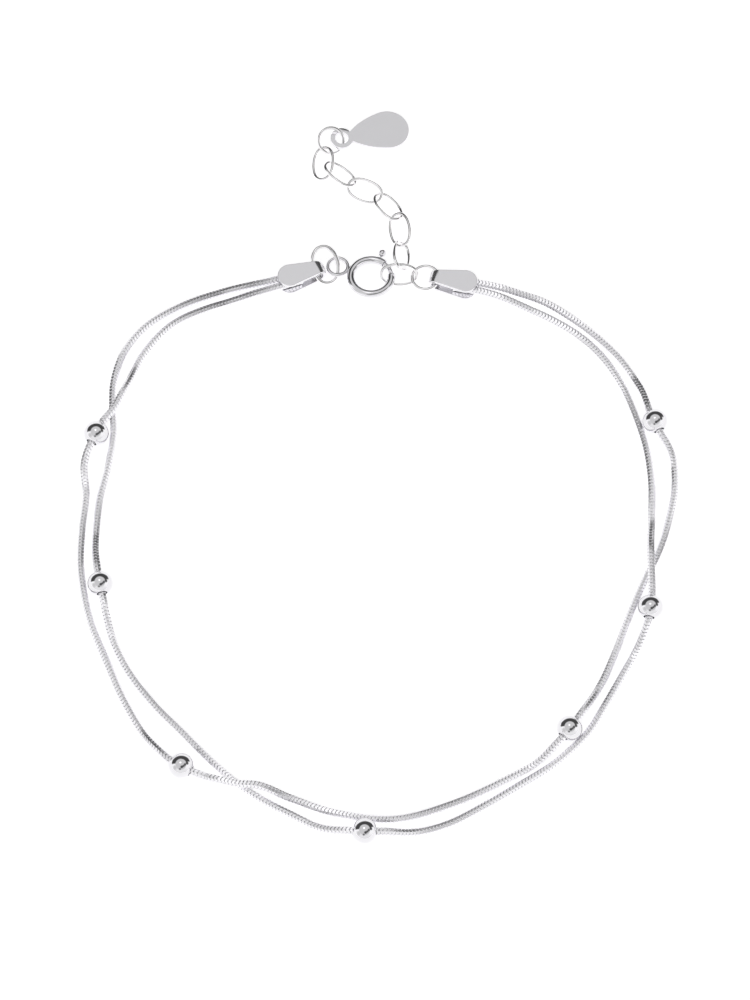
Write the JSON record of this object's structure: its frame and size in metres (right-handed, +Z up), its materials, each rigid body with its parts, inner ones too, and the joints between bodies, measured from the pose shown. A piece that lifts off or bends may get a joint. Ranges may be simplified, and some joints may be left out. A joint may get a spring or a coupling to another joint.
{
  "type": "double-strand chain bracelet",
  "caption": "Silver bracelet of two crossing snake-chain strands with round beads, folded end caps, a spring-ring clasp and an extension chain with a teardrop tag.",
  "frame": {"origin": "middle of the base of the bracelet's bounding box, on the surface it lies on", "axes": "+Z up from the surface, +Y towards the clasp and its extension chain, +X to the right as pictured"},
  "size_m": [0.0601, 0.0808, 0.0025],
  "materials": {
    "polished_silver": "polished",
    "snake_chain": "polished, faceted",
    "satin_silver": "smooth"
  },
  "bodies": {
    "bracelet": {"strand_a": "snake_chain", "strand_b": "snake_chain", "bead_a1": "polished_silver", "bead_a2": "polished_silver", "bead_a3": "polished_silver", "bead_b1": "polished_silver", "bead_b2": "polished_silver", "bead_b3": "polished_silver", "bead_b4": "polished_silver", "cap_right": "satin_silver", "cap_left": "satin_silver", "clasp_body": "polished_silver", "jump_ring_left": "polished_silver", "jump_ring_right": "polished_silver", "jump_ring_tag": "polished_silver", "link_1": "polished_silver", "link_2": "polished_silver", "link_3": "polished_silver", "link_4": "polished_silver", "link_5": "polished_silver", "link_6": "polished_silver", "link_7": "polished_silver", "tag": "satin_silver"},
    "bolt": {"clasp_bolt": "polished_silver"}
  },
  "joints": [
    {"name": "bolt_slide", "type": "hinge", "parent": "bracelet", "child": "bolt", "pos_m": [-0.00079, 0.02091, 0.00097], "axis": [0, 0.1045, 0.9945], "range_deg": [0, 40], "stiffness_Nm_per_rad": 0.002}
  ]
}
